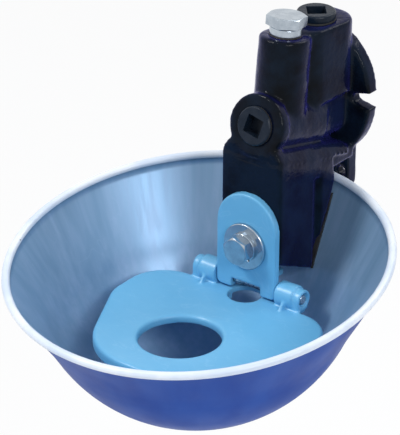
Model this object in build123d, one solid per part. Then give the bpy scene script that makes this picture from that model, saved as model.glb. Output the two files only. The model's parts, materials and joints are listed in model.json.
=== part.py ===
from build123d import *
import math
import os

# Livestock drinking bowl with a paddle valve, in millimetres.
# X runs along the paddle's hinge, +Y is towards the wall, +Z is up.
# The origin is the centre of the rear inlet on the back face of the mounting flange.

# ---- fits shared by several pieces ----
running_gap = 0.05          # radial room of a turning or sliding fit
loose_gap = 0.4             # room between pieces that pass each other
overrun = 1.0               # how far a tool or a joined form runs past the face it meets

# ---- bowl ----
rim_gap = 24.5              # back edge of the rim, in front of the wall
rim_diameter = 260.0        # over the bead
bowl_drop = 70.0            # rim centre, below the rear inlet
rim_slope = 9.0             # degrees that the rim falls towards the animal
bead_diameter = 5.6
bowl_wall = 2.0
crease_radius = 102.5       # where the steep wall turns into the dished floor
crease_depth = 42.9         # crease centre below the rim plane
crease_shift = 5.3          # crease centre, towards the animal
crease_tilt = 3.0           # degrees between the crease plane and the rim plane
dish_height = 67.0
rim_collar = 6.0            # straight collar under the bead

# ---- ports: pipe thread three-quarter inch ----
port_thread_radius = 12.06  # core of the female thread
port_depth = 16.0
plug_ring_radius = 13.2
plug_socket = 12.7          # square socket
plug_socket_depth = 9.0
plug_thread_length = 12.0
port_seal_thickness = 1.2
front_plug_proud = 2.6      # plug head and seal above the boss
top_plug_proud = 6.2
front_socket_turn = -12.0
top_socket_turn = 40.0
passage_radius = 8.5

# ---- housing: front boss and cross tube ----
boss_setback = 4.0          # boss face centre, behind the spout's front face
boss_height = 4.0           # boss face centre, above the rear inlet
tube_slope = 14.5           # degrees that the cross tube falls towards the wall
boss_radius = 21.7
boss_length = 10.0
boss_edge_round = 1.5
tube_radius = 19.0
tube_length = 60.0

# ---- housing: flow regulator tower ----
regulator_tilt = 6.0        # degrees that the regulator leans back
regulator_setback = 36.2    # centre of the tower's top face, behind the spout's front face
tower_top = 58.3            # top face of both towers above the rear inlet
front_tower_top_radius = 17.5
front_tower_foot_radius = 17.8
front_tower_length = 56.0
front_tower_edge_round = 2.0
gland_thread_radius = 9.6
gland_thread_length = 14.0
gland_ring_radius = 10.9
gland_ring_height = 6.5
spindle_radius = 5.0
spindle_collar_radius = 7.0
spindle_collar_height = 2.4
head_across_flats = 24.0
head_height = 7.3
head_clearance = 0.4        # between the screw head and the gland
head_turn = 10.0
spindle_thread_radius = 3.0
gland_seal_thickness = 1.0
o_ring_radius = 7.2
o_ring_thickness = 2.2
throttle_start = 31.0       # below the tower's top face
throttle_radius = 7.6
throttle_length = 18.0
throttle_key_width = 2.4
throttle_key_height = 1.2
throttle_wall = 1.6
regulator_bore_length = 60.0

# ---- housing: inlet tower and mounting flange ----
inlet_front = 26.0          # inlet tower axis, in front of the wall
inlet_tower_corner = 17.0    # corner radius of the inlet tower's plan, at the wall
inlet_tower_corner_x = 3.0
inlet_tower_corner_front = 17.7
inlet_tower_nose = 17.5      # radius of its front end
inlet_tower_nose_front = 36.0
inlet_tower_foot = 5.5
inlet_tower_edge_round = 2.5
inlet_way_foot = -10.0      # lower end of the bore under the top port
neck_radius = 15.5          # body between the cross tube and the flange
neck_drop = 14.0
neck_front = 42.0
rear_port_depth = 12.0
flange_thickness = 10.5
flange_half_width = 34.0
flange_half_height = 46.0
slot_mouth = 13.0           # width of the clamp slots at the flange's edge
slot_end = 7.6              # width of the clamp slots at their inner end
slot_half_spacing = 23.0    # centre of each slot's inner end
slot_flare = 4.0            # from the flange's edge to where slot_mouth is measured
tail_half_width = 18.0
tail_bottom = -74.0
tail_corner = 8.0
fixing_hole_radius = 3.6
fixing_hole_half_spacing = 11.5
fixing_hole_height = -57.0

# ---- housing: spout inside the bowl ----
spout_half_width = 24.6
spout_reach = 72.7          # front face, in front of the rim's back edge
spout_back_reach = 8.5      # back end, in front of the rim's back edge
spout_wall = 5.0
spout_side_wall = 4.0
spout_top = -18.5           # at the front face; it falls as the cross tube does
spout_front_bottom = -91.0
spout_bottom_slope = 23.7   # degrees that the lower edge falls towards the wall
spout_roof = -42.0
ledge_half_width = 24.6     # at its lower edge
ledge_top_half_width = 19.5
ledge_top = -9.0            # upper and lower edge, at the spout's front face
ledge_foot = -16.6
ledge_back = 17.0           # back end of the ledge, in front of the wall
core_half_width = 21.5      # solid metal inside the ledge and the spout's top
core_setback = 2.0
core_top = -12.0            # at its front end; it falls as the cross tube does
core_front_foot = -30.0
core_knee = 30.0
core_back = 8.0
core_foot = -44.0
groove_front = 58.0
groove_back = 51.5
groove_depth = 3.0
seat_wall = 9.0             # wall of the spout that the bowl is bolted to
seat_above = 20.0           # ends of the seat's line, from the rim plane
seat_below = 90.0
hollow_setback = 16.0       # the hollow's upper back corner, in front of the seat's line
gasket_thickness = 1.5
gasket_rise = 10.0          # gasket's top edge, above the rim centre
bead_room = 0.8             # between the spout and the bead of the rim

# ---- bowl bolts ----
bowl_bolt_radius = 4.0
bowl_bolt_flats = 13.0
bowl_bolt_head = 5.3
bowl_bolt_length = 10.0
bowl_bolt_half_spacing = 12.5
bowl_bolt_down_wall = 30.0  # from the rim plane, along the back wall
bolt_washer_radius = 8.0
bolt_washer_thickness = 1.6

# ---- valve insert ----
valve_setback = 24.2        # valve axis, behind the spout's front face
insert_radius = 10.5
insert_top = -30.0
insert_bottom = -56.0
insert_flange_flats = 24.0
insert_flange_height = 5.0
insert_seal_thickness = 1.2
insert_seal_radius = 13.5
valve_boss_radius = 14.5
valve_boss_height = 35.0
chamber_radius = 8.2
seat_height = -50.0
throat_radius = 5.2
guide_height = 3.0
guide_hub_radius = 4.2
guide_spoke = 1.8
stem_radius = 2.5
stem_disc_radius = 6.9
stem_disc_thickness = 1.8
seat_seal_thickness = 1.8
stem_tail = 2.0             # stem above the insert's cap
stem_tail_radius = 1.6
cap_thickness = 2.0
cap_hole_radius = 1.6
cap_hole_ring = 5.2
spring_wire = 0.9
spring_radius = 5.4
spring_turns = 5.0
valve_way_radius = 7.0
valve_way_height = 28.0
stem_room = 5.0             # radius kept free round the stem below the insert

# ---- inlet strainer ----
strainer_length = 20.0
strainer_wall = 1.0
strainer_hole_radius = 1.1
strainer_rows = 4
strainer_around = 8
strainer_start = 40.0       # from the boss face, along the cross tube

# ---- hinge bracket ----
bracket_half_width = 24.3
bracket_thickness = 5.2
bracket_arc_height = -67.6  # centre of the round top
bracket_bottom = -115.5
bracket_corner = 4.0
bracket_edge_round = 1.2
bracket_notch_half_width = 12.0
bracket_notch_top = -108.6
lug_half_height = 4.8
lug_back = 5.0              # lug behind the pin's axis
lug_edge_round = 2.8
bracket_bolt_height = -80.8
bracket_bolt_radius = 6.0
bracket_bolt_flats = 18.0
bracket_bolt_head = 7.5
bracket_bolt_turn = 12.0
bracket_bolt_grip = 16.0    # thread inside the housing
spring_washer_radius = 10.4
spring_washer_thickness = 2.5
washer_radius = 16.5
washer_thickness = 2.6
bolt_boss_radius = 10.5
bolt_boss_length = 7.0

# ---- hinge pin and paddle ----
pin_setback = 1.0           # pin axis, behind the spout's front face
pin_height = -110.5
pin_radius = 3.5
pin_half_length = 43.6
paddle_drop = 6.5           # plate's top below the pin axis
paddle_slope = 1.0          # degrees that the plate falls towards the animal at rest
paddle_thickness = 4.0
paddle_lip = 8.0            # depth of the turned-down edge
paddle_lip_wall = 3.4
paddle_hole_reach = 78.3    # big hole's centre, in front of the pin
paddle_hole_radius = 27.8
paddle_hole_lip = 6.0
paddle_edge_round = 2.6
# The plate's outline is wrapped round three pairs of circles: x, in front of the pin, radius.
paddle_shoulder = (48.5, 33.3, 28.5)
paddle_side = (48.0, 46.8, 29.0)
paddle_nose = (8.0, 76.3, 52.5)
small_hole_radius = 11.6
small_hole_reach = 6.3      # small hole's centre, in front of the pin
heel_reach = 4.2            # rear edge under the knuckles, behind the pin
heel_inset = 2.0            # its ends, inside the knuckles' ends
strap_reach = 11.2          # rear edge of the strap between the bracket's lugs, behind the pin
strap_half_width = 11.0
knuckle_radius = 8.6
knuckle_inner = 24.8
knuckle_step = 38.6         # where the knuckle steps down
knuckle_outer = 44.4
knuckle_end_radius = 7.0
knuckle_recess_radius = 4.8  # round each end of the pin
knuckle_recess = 2.4
gusset_thickness = 2.2
gusset_length = 8.0
gusset_bite = 2.0           # how far the gusset runs into the knuckle
gusset_x = 33.0
tongue_half_width = 8.0
tongue_reach = 26.7         # rear end of the tongue, behind the pin
tongue_root = 5.0           # overlap of the tongue and the strap
tongue_step = 4.0
tongue_thickness = 4.5
tongue_gap = 0.25           # between the tongue and the stem at rest
stem_tip = -108.0


def cylinder_along(centre, direction, radius, length):
    """Solid cylinder that starts at centre and runs along direction."""
    plane = Plane(origin=centre, z_dir=direction)
    return plane * Cylinder(radius, length, align=(Align.CENTER, Align.CENTER, Align.MIN))


def hexagon_along(centre, direction, flats, height, turn=0):
    """Hexagonal prism by its width across flats."""
    plane = Plane(origin=centre, z_dir=direction)
    return plane * extrude(RegularPolygon(flats / 2, 6, major_radius=False, rotation=turn), height)


def side_profile(points, half_width):
    """Prism across X from a list of (y, z) points."""
    # Plane.YZ has its local x along Y and its local y along Z.
    face = Plane.YZ * make_face(Polyline(*points, close=True))
    return extrude(face, half_width, both=True)


def box_between(low, high):
    """Box from its lowest to its highest corner."""
    size = [b - a for a, b in zip(low, high)]
    middle = [(a + b) / 2 for a, b in zip(low, high)]
    return Pos(*middle) * Box(*size)


# ---- places worked out from the sizes above, in front of the wall ----
bowl_reach = rim_gap + rim_diameter / 2
spout_front = rim_gap + spout_reach
spout_back = rim_gap + spout_back_reach
boss_front = spout_front - boss_setback
regulator_front = spout_front - regulator_setback
valve_front = spout_front - valve_setback
pin_front = spout_front - pin_setback
paddle_hole_front = pin_front + paddle_hole_reach
small_hole_front = pin_front + small_hole_reach
heel_back = pin_front - heel_reach
strap_back = pin_front - strap_reach
tongue_end = pin_front - tongue_reach

slope = math.radians(rim_slope)
rim_centre = Vector(0, -bowl_reach, -bowl_drop)
rim_normal = Vector(0, -math.sin(slope), math.cos(slope))
rim_back = Vector(0, math.cos(slope), math.sin(slope))
rim_plane = Plane(origin=rim_centre, x_dir=(1, 0, 0), z_dir=rim_normal)
crease_plane = Plane(rim_plane * Pos(0, -crease_shift, -crease_depth) * Rot(-crease_tilt, 0, 0))
wall_top_radius = rim_diameter / 2 - bead_diameter / 4
dish_radius = (crease_radius**2 + dish_height**2) / (2 * dish_height)

fall = math.radians(tube_slope)
boss_centre = Vector(0, -boss_front, boss_height)
tube_way = Vector(0, math.cos(fall), -math.sin(fall))
tilt = math.radians(regulator_tilt)
regulator_top = Vector(0, -regulator_front, tower_top)
regulator_up = Vector(0, math.sin(tilt), math.cos(tilt))

head_base = gland_ring_height + head_clearance
passage_at_inlet = (boss_front - inlet_front) / math.cos(fall)
spout_slope = math.tan(math.radians(spout_bottom_slope))
tube_fall = math.tan(fall)


def regulator_point(above):
    """Point on the regulator's axis, measured up from the tower's top face."""
    return regulator_top + regulator_up * above


def tube_point(along):
    """Point on the cross tube's axis, measured from the boss face."""
    return boss_centre + tube_way * along


def bowl_solid(inset, top_extra=0.0):
    """Everything inside the bowl's outer surface moved inwards by inset."""
    shell = dish_radius - inset
    rise = dish_radius - dish_height
    lower_radius = math.sqrt(shell**2 - rise**2)
    spread = (wall_top_radius - crease_radius) / crease_depth
    upper_radius = wall_top_radius - inset * math.hypot(1, spread)
    collar_radius = upper_radius - rim_collar * spread
    collar_plane = rim_plane.offset(-rim_collar)
    collar = collar_plane * Cone(
        collar_radius, upper_radius, rim_collar, align=(Align.CENTER, Align.CENTER, Align.MIN)
    )
    wall = loft([collar_plane * Circle(collar_radius), crease_plane * Circle(lower_radius)], ruled=True)
    ball = crease_plane * Pos(0, 0, rise) * Sphere(shell)
    below = crease_plane * Cylinder(
        rim_diameter, rim_diameter, align=(Align.CENTER, Align.CENTER, Align.MAX)
    )
    solid = collar + wall + (ball & below)
    if top_extra:
        solid += rim_plane * Cylinder(
            upper_radius, top_extra, align=(Align.CENTER, Align.CENTER, Align.MIN)
        )
    return solid


def wall_plane(angle, down):
    """Plane on the bowl's outer wall, down from the rim, angle degrees from the back."""
    turn = math.radians(90 - angle)
    spot = Vector(math.cos(turn), math.sin(turn), 0)
    top = rim_plane.from_local_coords(spot * wall_top_radius)
    low = crease_plane.from_local_coords(spot * crease_radius)
    way = (Vector(*low) - Vector(*top)).normalized()
    across = rim_plane.x_dir * -math.sin(turn) + rim_plane.y_dir * math.cos(turn)
    normal = across.cross(way).normalized()
    if normal.Y < 0:
        normal = normal * -1
    return Plane(origin=Vector(*top) + way * down, x_dir=across, z_dir=normal)


bolt_angle = math.degrees(math.asin(bowl_bolt_half_spacing / wall_top_radius))
bolt_planes = [wall_plane(side * bolt_angle, bowl_bolt_down_wall) for side in (-1, 1)]


def make_bowl():
    bead = rim_plane * Torus(rim_diameter / 2 - bead_diameter / 2, bead_diameter / 2)
    bowl = bowl_solid(0) - bowl_solid(bowl_wall)
    bowl += bead
    for plane in bolt_planes:
        bowl -= plane * Cylinder(bowl_bolt_radius + loose_gap, 6 * bowl_wall)
    return bowl


def spout_block(inset):
    """Outer form of the spout, between its side faces moved in by inset."""
    depth = spout_front - spout_back
    low = spout_front_bottom - depth * spout_slope
    points = [
        (-spout_front, spout_top),
        (-spout_front, spout_front_bottom),
        (-spout_back, low),
        (-spout_back, spout_top - depth * tube_fall),
    ]
    return side_profile(points, spout_half_width - inset)


def seat_line(offset):
    """Two points of the back wall's line in the plane X = 0, offset towards the animal."""
    plane = wall_plane(0, 0)
    top = plane.origin - plane.z_dir * offset
    way = (wall_plane(0, seat_below).origin - plane.origin).normalized()
    high = top - way * seat_above
    low = top + way * seat_below
    return (high.Y, high.Z), (low.Y, low.Z)


def make_gasket():
    outer = bowl_solid(bowl_wall)
    inner = bowl_solid(bowl_wall + gasket_thickness)
    high, low = seat_line(seat_wall + gasket_thickness + bowl_wall)
    band = side_profile([high, low, (0, low[1]), (0, high[1])], spout_half_width)
    gasket = (outer - inner) & band & spout_block(0)
    gasket = gasket & box_between(
        (-spout_half_width, -spout_front, -rim_diameter), (spout_half_width, 0, -bowl_drop + gasket_rise)
    )
    for plane in bolt_planes:
        gasket -= plane * Cylinder(bowl_bolt_radius + loose_gap, 8 * bowl_wall)
    return gasket


def make_spout():
    room = bowl_solid(bowl_wall + gasket_thickness, bowl_drop)
    spout = spout_block(0) & room
    spout -= rim_plane * Torus(rim_diameter / 2 - bead_diameter / 2, bead_diameter / 2 + bead_room)
    high, low = seat_line(seat_wall + gasket_thickness + bowl_wall)
    hollow = side_profile(
        [
            (-spout_front + spout_wall, spout_roof),
            (high[0] - hollow_setback, spout_roof),
            low,
            (-spout_front + spout_wall, low[1]),
        ],
        spout_half_width - spout_side_wall,
    )
    spout -= hollow
    for side in (-1, 1):
        across = sorted((side * (spout_half_width - groove_depth), side * (spout_half_width + groove_depth)))
        groove_foot = (across[0], -groove_front, -rim_diameter)
        spout -= box_between(groove_foot, (across[1], -groove_back, spout_roof))
    boss = cylinder_along(
        (0, -spout_front + spout_wall - overrun, bracket_bolt_height),
        (0, 1, 0),
        bolt_boss_radius,
        bolt_boss_length + overrun,
    )
    spout += boss
    return spout


def make_ledge():
    """Sloping ledge with bevelled sides, above the spout."""
    outline = Plane(origin=(0, -spout_front, 0), x_dir=(1, 0, 0), z_dir=(0, -1, 0)) * make_face(Polyline(
        (-ledge_half_width, ledge_foot),
        (ledge_half_width, ledge_foot),
        (ledge_top_half_width, ledge_top),
        (-ledge_top_half_width, ledge_top),
        close=True,
    ))
    return extrude(outline, (spout_front - ledge_back) / math.cos(fall), dir=tube_way)


def make_neck():
    """Body round the rear port, from the flange to the cross tube."""
    upper = CenterArc((0, 0), neck_radius, 0, 360)
    circles = [upper, Pos(0, -neck_drop) * upper]
    outline = Plane(origin=(0, -neck_front, 0), x_dir=(-1, 0, 0), z_dir=(0, 1, 0)) * make_hull(circles)
    return extrude(outline, neck_front - flange_thickness / 2)


def make_flange():
    back_plane = Plane(origin=(0, 0, 0), x_dir=(-1, 0, 0), z_dir=(0, 1, 0))
    disc = back_plane * Ellipse(flange_half_width, flange_half_height)
    flange = extrude(disc, -flange_thickness)
    tail = box_between((-tail_half_width, -flange_thickness, tail_bottom), (tail_half_width, 0, 0))
    tail = fillet(tail.edges().filter_by(Axis.Y).group_by(Axis.Z)[0], tail_corner)
    flange += tail
    reach = flange_half_width + slot_flare
    outline = make_face(Polyline(
        (slot_half_spacing, -slot_end / 2),
        (reach, -slot_mouth / 2),
        (reach, slot_mouth / 2),
        (slot_half_spacing, slot_end / 2),
        close=True,
    ))
    wedge = extrude(Plane.XZ * outline, 2 * flange_thickness, both=True)
    wedge += cylinder_along(
        (slot_half_spacing, -2 * flange_thickness, 0), (0, 1, 0), slot_end / 2, 4 * flange_thickness
    )
    flange -= wedge
    flange -= mirror(wedge, Plane.YZ)
    for side in (-1, 1):
        flange -= cylinder_along(
            (side * fixing_hole_half_spacing, -2 * flange_thickness, fixing_hole_height),
            (0, 1, 0),
            fixing_hole_radius,
            4 * flange_thickness,
        )
    return flange


def make_core():
    """Solid metal behind the ledge, round the valve's bore."""
    front = -spout_front + core_setback
    back_top = core_top - (spout_front - core_setback - core_back) * tube_fall
    points = [
        (front, core_top),
        (front, core_front_foot),
        (-core_knee, core_foot),
        (-core_back, core_foot),
        (-core_back, back_top),
    ]
    return side_profile(points, core_half_width)


def make_housing():
    tube = cylinder_along(boss_centre, tube_way, tube_radius, tube_length)
    boss = cylinder_along(boss_centre, tube_way, boss_radius, boss_length)
    boss = fillet(boss.edges().filter_by(GeomType.CIRCLE), boss_edge_round)
    foot = regulator_point(-front_tower_length)
    front_tower = Plane(origin=foot, z_dir=regulator_up) * Cone(
        front_tower_foot_radius, front_tower_top_radius, front_tower_length,
        align=(Align.CENTER, Align.CENTER, Align.MIN),
    )
    top_edge = front_tower.edges().filter_by(GeomType.CIRCLE).sort_by(Axis.Z)[-1]
    front_tower = fillet(top_edge, front_tower_edge_round)
    plan = [Pos(0, -inlet_tower_nose_front) * CenterArc((0, 0), inlet_tower_nose, 0, 360)]
    for side in (-1, 1):
        plan.append(
            Pos(side * inlet_tower_corner_x, -inlet_tower_corner_front)
            * CenterArc((0, 0), inlet_tower_corner, 0, 360)
        )
    inlet_tower = extrude(Pos(0, 0, inlet_tower_foot) * make_hull(plan), tower_top - inlet_tower_foot)
    inlet_tower = fillet(inlet_tower.edges().group_by(Axis.Z)[-1], inlet_tower_edge_round)
    housing = tube + boss + front_tower + inlet_tower + make_core()
    housing += make_neck()
    housing += make_ledge()
    housing += make_spout()
    housing += make_flange()
    boss_foot = (0, -valve_front, insert_bottom + insert_seal_thickness)
    valve_boss = cylinder_along(boss_foot, (0, 0, 1), valve_boss_radius, valve_boss_height)
    housing += valve_boss
    return housing - make_waterways()


def make_waterways():
    """Every bore of the housing, as one tool."""
    ways = cylinder_along(tube_point(-overrun), tube_way, port_thread_radius, port_depth + overrun)
    ways += cylinder_along(boss_centre, tube_way, passage_radius, passage_at_inlet)
    ways += cylinder_along(
        (0, -inlet_front, tower_top + overrun), (0, 0, -1), port_thread_radius, port_depth + overrun
    )
    ways += cylinder_along(
        (0, -inlet_front, inlet_way_foot), (0, 0, 1), passage_radius + overrun, tower_top - inlet_way_foot
    )
    ways += cylinder_along((0, overrun, 0), (0, -1, 0), port_thread_radius, rear_port_depth + overrun)
    ways += cylinder_along((0, 0, 0), (0, -1, 0), passage_radius, inlet_front)
    ways += cylinder_along(
        regulator_point(overrun), regulator_up * -1, gland_thread_radius, gland_thread_length + overrun
    )
    ways += cylinder_along(
        regulator_point(0), regulator_up * -1, throttle_radius + running_gap, regulator_bore_length
    )
    # Spot face that lets the gland sit flat beside the inlet tower.
    ways += cylinder_along(regulator_point(0), regulator_up, gland_ring_radius + loose_gap, tower_top)
    ways += throttle_key(running_gap, regulator_bore_length)
    ways += cylinder_along((0, -valve_front, insert_top), (0, 0, 1), valve_way_radius, valve_way_height)
    foot = insert_bottom - insert_flange_height
    ways += cylinder_along((0, -valve_front, foot), (0, 0, 1), insert_radius, insert_top + overrun - foot)
    flange_room = insert_flange_flats / math.sqrt(3) + loose_gap
    ways += cylinder_along((0, -valve_front, foot - loose_gap), (0, 0, 1), flange_room, insert_bottom - foot)
    ways += cylinder_along((0, -valve_front, stem_tip), (0, 0, 1), stem_room, insert_bottom - stem_tip)
    ways += cylinder_along(
        (0, -spout_front - overrun, bracket_bolt_height),
        (0, 1, 0),
        bracket_bolt_radius,
        bracket_bolt_grip + overrun,
    )
    for plane in bolt_planes:
        ways += plane * Cylinder(
            bowl_bolt_radius,
            bowl_wall + gasket_thickness + bowl_bolt_length,
            align=(Align.CENTER, Align.CENTER, Align.MAX),
        )
    return ways


def make_bowl_bolts():
    bolts = []
    for plane in bolt_planes:
        head = plane * Pos(0, 0, bolt_washer_thickness) * extrude(
            RegularPolygon(bowl_bolt_flats / 2, 6, major_radius=False), bowl_bolt_head
        )
        shank = plane * Pos(0, 0, bolt_washer_thickness) * Cylinder(
            bowl_bolt_radius,
            bowl_bolt_length + bolt_washer_thickness + bowl_wall + gasket_thickness,
            align=(Align.CENTER, Align.CENTER, Align.MAX),
        )
        bolts.append(head + shank)
    return bolts


def make_bolt_washers():
    washers = []
    outside = bowl_solid(0)
    for plane in bolt_planes:
        disc = plane * Pos(0, 0, bolt_washer_thickness) * Cylinder(
            bolt_washer_radius, 2 * bolt_washer_thickness, align=(Align.CENTER, Align.CENTER, Align.MAX)
        )
        hole = plane * Cylinder(bowl_bolt_radius + running_gap, 6 * bolt_washer_thickness)
        washers.append(disc - outside - hole)
    return washers


def make_plug(mouth, outward, proud, socket_turn):
    """Pipe plug with a square socket, its head resting on a flat seal."""
    face = mouth + outward * port_seal_thickness
    head = cylinder_along(face, outward, plug_ring_radius, proud - port_seal_thickness)
    rims = head.edges().filter_by(GeomType.CIRCLE).sort_by(lambda e: e.center().dot(outward))
    head = chamfer(rims[-1], 0.9)
    thread = cylinder_along(face, outward * -1, port_thread_radius, plug_thread_length)
    plane = Plane(origin=mouth + outward * proud, x_dir=(1, 0, 0), z_dir=outward)
    socket = plane * Rot(0, 0, socket_turn) * Box(
        plug_socket, plug_socket, plug_socket_depth, align=(Align.CENTER, Align.CENTER, Align.MAX)
    )
    return head + thread - socket


def make_port_seal(mouth, outward):
    ring = cylinder_along(mouth, outward, plug_ring_radius, port_seal_thickness)
    return ring - cylinder_along(mouth, outward, port_thread_radius, port_seal_thickness)


def make_gland():
    base = regulator_point(gland_seal_thickness)
    ring = cylinder_along(base, regulator_up, gland_ring_radius, gland_ring_height - gland_seal_thickness)
    ring = chamfer(ring.edges().filter_by(GeomType.CIRCLE).sort_by(Axis.Z)[-1], 0.8)
    thread_reach = gland_thread_length + gland_seal_thickness
    thread = cylinder_along(base, regulator_up * -1, gland_thread_radius, thread_reach)
    gland = ring + thread
    gland -= cylinder_along(
        regulator_point(gland_ring_height + overrun),
        regulator_up * -1,
        spindle_radius + running_gap,
        2 * (gland_ring_height + gland_thread_length),
    )
    gland -= cylinder_along(
        regulator_point(-gland_thread_length / 2), regulator_up, o_ring_radius, o_ring_thickness
    )
    return gland


def make_gland_seal():
    ring = cylinder_along(regulator_point(0), regulator_up, gland_ring_radius, gland_seal_thickness)
    return ring - cylinder_along(regulator_point(0), regulator_up, gland_thread_radius, gland_seal_thickness)


def make_spindle_o_ring():
    start = regulator_point(-gland_thread_length / 2)
    ring = cylinder_along(start, regulator_up, o_ring_radius, o_ring_thickness)
    return ring - cylinder_along(start, regulator_up, spindle_radius + running_gap, o_ring_thickness)


def make_regulating_screw():
    head = hexagon_along(regulator_point(head_base), regulator_up, head_across_flats, head_height, head_turn)
    corner = head_across_flats / math.sqrt(3)
    crown = cylinder_along(regulator_point(head_base), regulator_up, corner, head_height)
    crown = chamfer(
        crown.edges().filter_by(GeomType.CIRCLE).sort_by(Axis.Z)[-1],
        length=1.0, length2=corner - head_across_flats / 2 * 0.97,
    )
    screw = head & crown
    collar_top = -gland_thread_length - loose_gap
    spindle_top = head_base + overrun
    spindle_reach = spindle_top - collar_top
    screw += cylinder_along(regulator_point(spindle_top), regulator_up * -1, spindle_radius, spindle_reach)
    screw += cylinder_along(
        regulator_point(collar_top), regulator_up * -1, spindle_collar_radius, spindle_collar_height
    )
    stud_end = throttle_start + throttle_length - throttle_wall - loose_gap
    screw += cylinder_along(
        regulator_point(collar_top), regulator_up * -1, spindle_thread_radius, stud_end + collar_top
    )
    return screw


def throttle_key(room, length):
    """Key that keeps the throttle from turning, or with room its keyway."""
    plane = Plane(origin=regulator_point(-gland_thread_length), x_dir=(1, 0, 0), z_dir=regulator_up)
    if not room:
        plane = Plane(origin=regulator_point(-throttle_start), x_dir=(1, 0, 0), z_dir=regulator_up)
    return plane * Pos(throttle_radius - throttle_wall / 2, 0, 0) * Box(
        throttle_wall / 2 + throttle_key_height + room,
        throttle_key_width + 2 * room,
        length,
        align=(Align.MIN, Align.CENTER, Align.MAX),
    )


def make_throttle():
    start = regulator_point(-throttle_start)
    body = cylinder_along(start, regulator_up * -1, throttle_radius, throttle_length)
    body = chamfer(body.edges().filter_by(GeomType.CIRCLE).sort_by(Axis.Z)[0], 2.5)
    bore = cylinder_along(
        start, regulator_up * -1, spindle_thread_radius + running_gap, throttle_length - throttle_wall
    )
    return body - bore + throttle_key(0, throttle_length - 2 * throttle_key_height)


def make_strainer():
    start = tube_point(strainer_start)
    tube = cylinder_along(start, tube_way, passage_radius, strainer_length)
    tube -= cylinder_along(start, tube_way, passage_radius - strainer_wall, strainer_length - strainer_wall)
    pitch = strainer_length / (strainer_rows + 1)
    for row in range(strainer_rows):
        for step in range(strainer_around):
            turn = 360 / strainer_around * (step + 0.5 * (row % 2))
            spot = Plane(origin=start + tube_way * pitch * (row + 1), x_dir=(1, 0, 0), z_dir=tube_way)
            tube -= spot * Rot(0, 0, turn) * Pos(passage_radius, 0, 0) * Rot(0, 90, 0) * Cylinder(
                strainer_hole_radius, 4 * strainer_wall
            )
    return tube


def make_valve_insert():
    bottom = (0, -valve_front, insert_bottom)
    body = cylinder_along(bottom, (0, 0, 1), insert_radius, insert_top - insert_bottom)
    body += hexagon_along(bottom, (0, 0, -1), insert_flange_flats, insert_flange_height)
    seat = (0, -valve_front, seat_height)
    body -= cylinder_along(seat, (0, 0, 1), chamber_radius, insert_top - seat_height)
    foot = insert_bottom - insert_flange_height
    body -= cylinder_along((0, -valve_front, foot), (0, 0, 1), throat_radius, seat_height - foot)
    guide = cylinder_along((0, -valve_front, foot), (0, 0, 1), guide_hub_radius, guide_height)
    for step in range(3):
        guide += Pos(0, -valve_front, foot) * Rot(0, 0, 120 * step) * Box(
            throat_radius + overrun, guide_spoke, guide_height, align=(Align.MIN, Align.CENTER, Align.MIN)
        )
    guide -= cylinder_along((0, -valve_front, foot), (0, 0, 1), stem_radius + running_gap, guide_height)
    return body + guide


def make_insert_seal():
    start = (0, -valve_front, insert_bottom)
    ring = cylinder_along(start, (0, 0, 1), insert_seal_radius, insert_seal_thickness)
    return ring - cylinder_along(start, (0, 0, 1), insert_radius, insert_seal_thickness)


def make_insert_cap():
    start = (0, -valve_front, insert_top - cap_thickness)
    cap = cylinder_along(start, (0, 0, 1), chamber_radius, cap_thickness)
    cap -= cylinder_along(start, (0, 0, 1), stem_tail_radius + running_gap, cap_thickness)
    for step in range(6):
        cap -= Pos(0, -valve_front, insert_top) * Rot(0, 0, 60 * step) * Pos(cap_hole_ring, 0, 0) * Cylinder(
            cap_hole_radius, 3 * cap_thickness
        )
    return cap


def make_valve_stem():
    tip = Vector(0, -valve_front, stem_tip)
    disc_foot = seat_height + seat_seal_thickness
    tip_middle = tip + Vector(0, 0, stem_radius)
    rod = cylinder_along(tip_middle, (0, 0, 1), stem_radius, disc_foot - stem_tip - stem_radius)
    rod += Pos(*tip_middle) * Sphere(stem_radius)
    rod += cylinder_along((0, -valve_front, disc_foot), (0, 0, 1), stem_disc_radius, stem_disc_thickness)
    tail_top = insert_top + stem_tail
    rod += cylinder_along((0, -valve_front, disc_foot), (0, 0, 1), stem_tail_radius, tail_top - disc_foot)
    return rod


def make_seat_seal():
    start = (0, -valve_front, seat_height)
    ring = cylinder_along(start, (0, 0, 1), stem_disc_radius, seat_seal_thickness)
    return ring - cylinder_along(start, (0, 0, 1), stem_radius, seat_seal_thickness)


def make_valve_spring():
    low = seat_height + seat_seal_thickness + stem_disc_thickness + spring_wire / 2
    high = insert_top - cap_thickness - spring_wire / 2
    rise = high - low
    helix = Pos(0, -valve_front, low) * Helix(pitch=rise / spring_turns, height=rise, radius=spring_radius)
    profile = Plane(origin=helix @ 0, z_dir=helix % 0) * Circle(spring_wire / 2)
    return sweep(profile, path=helix, is_frenet=True)


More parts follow.
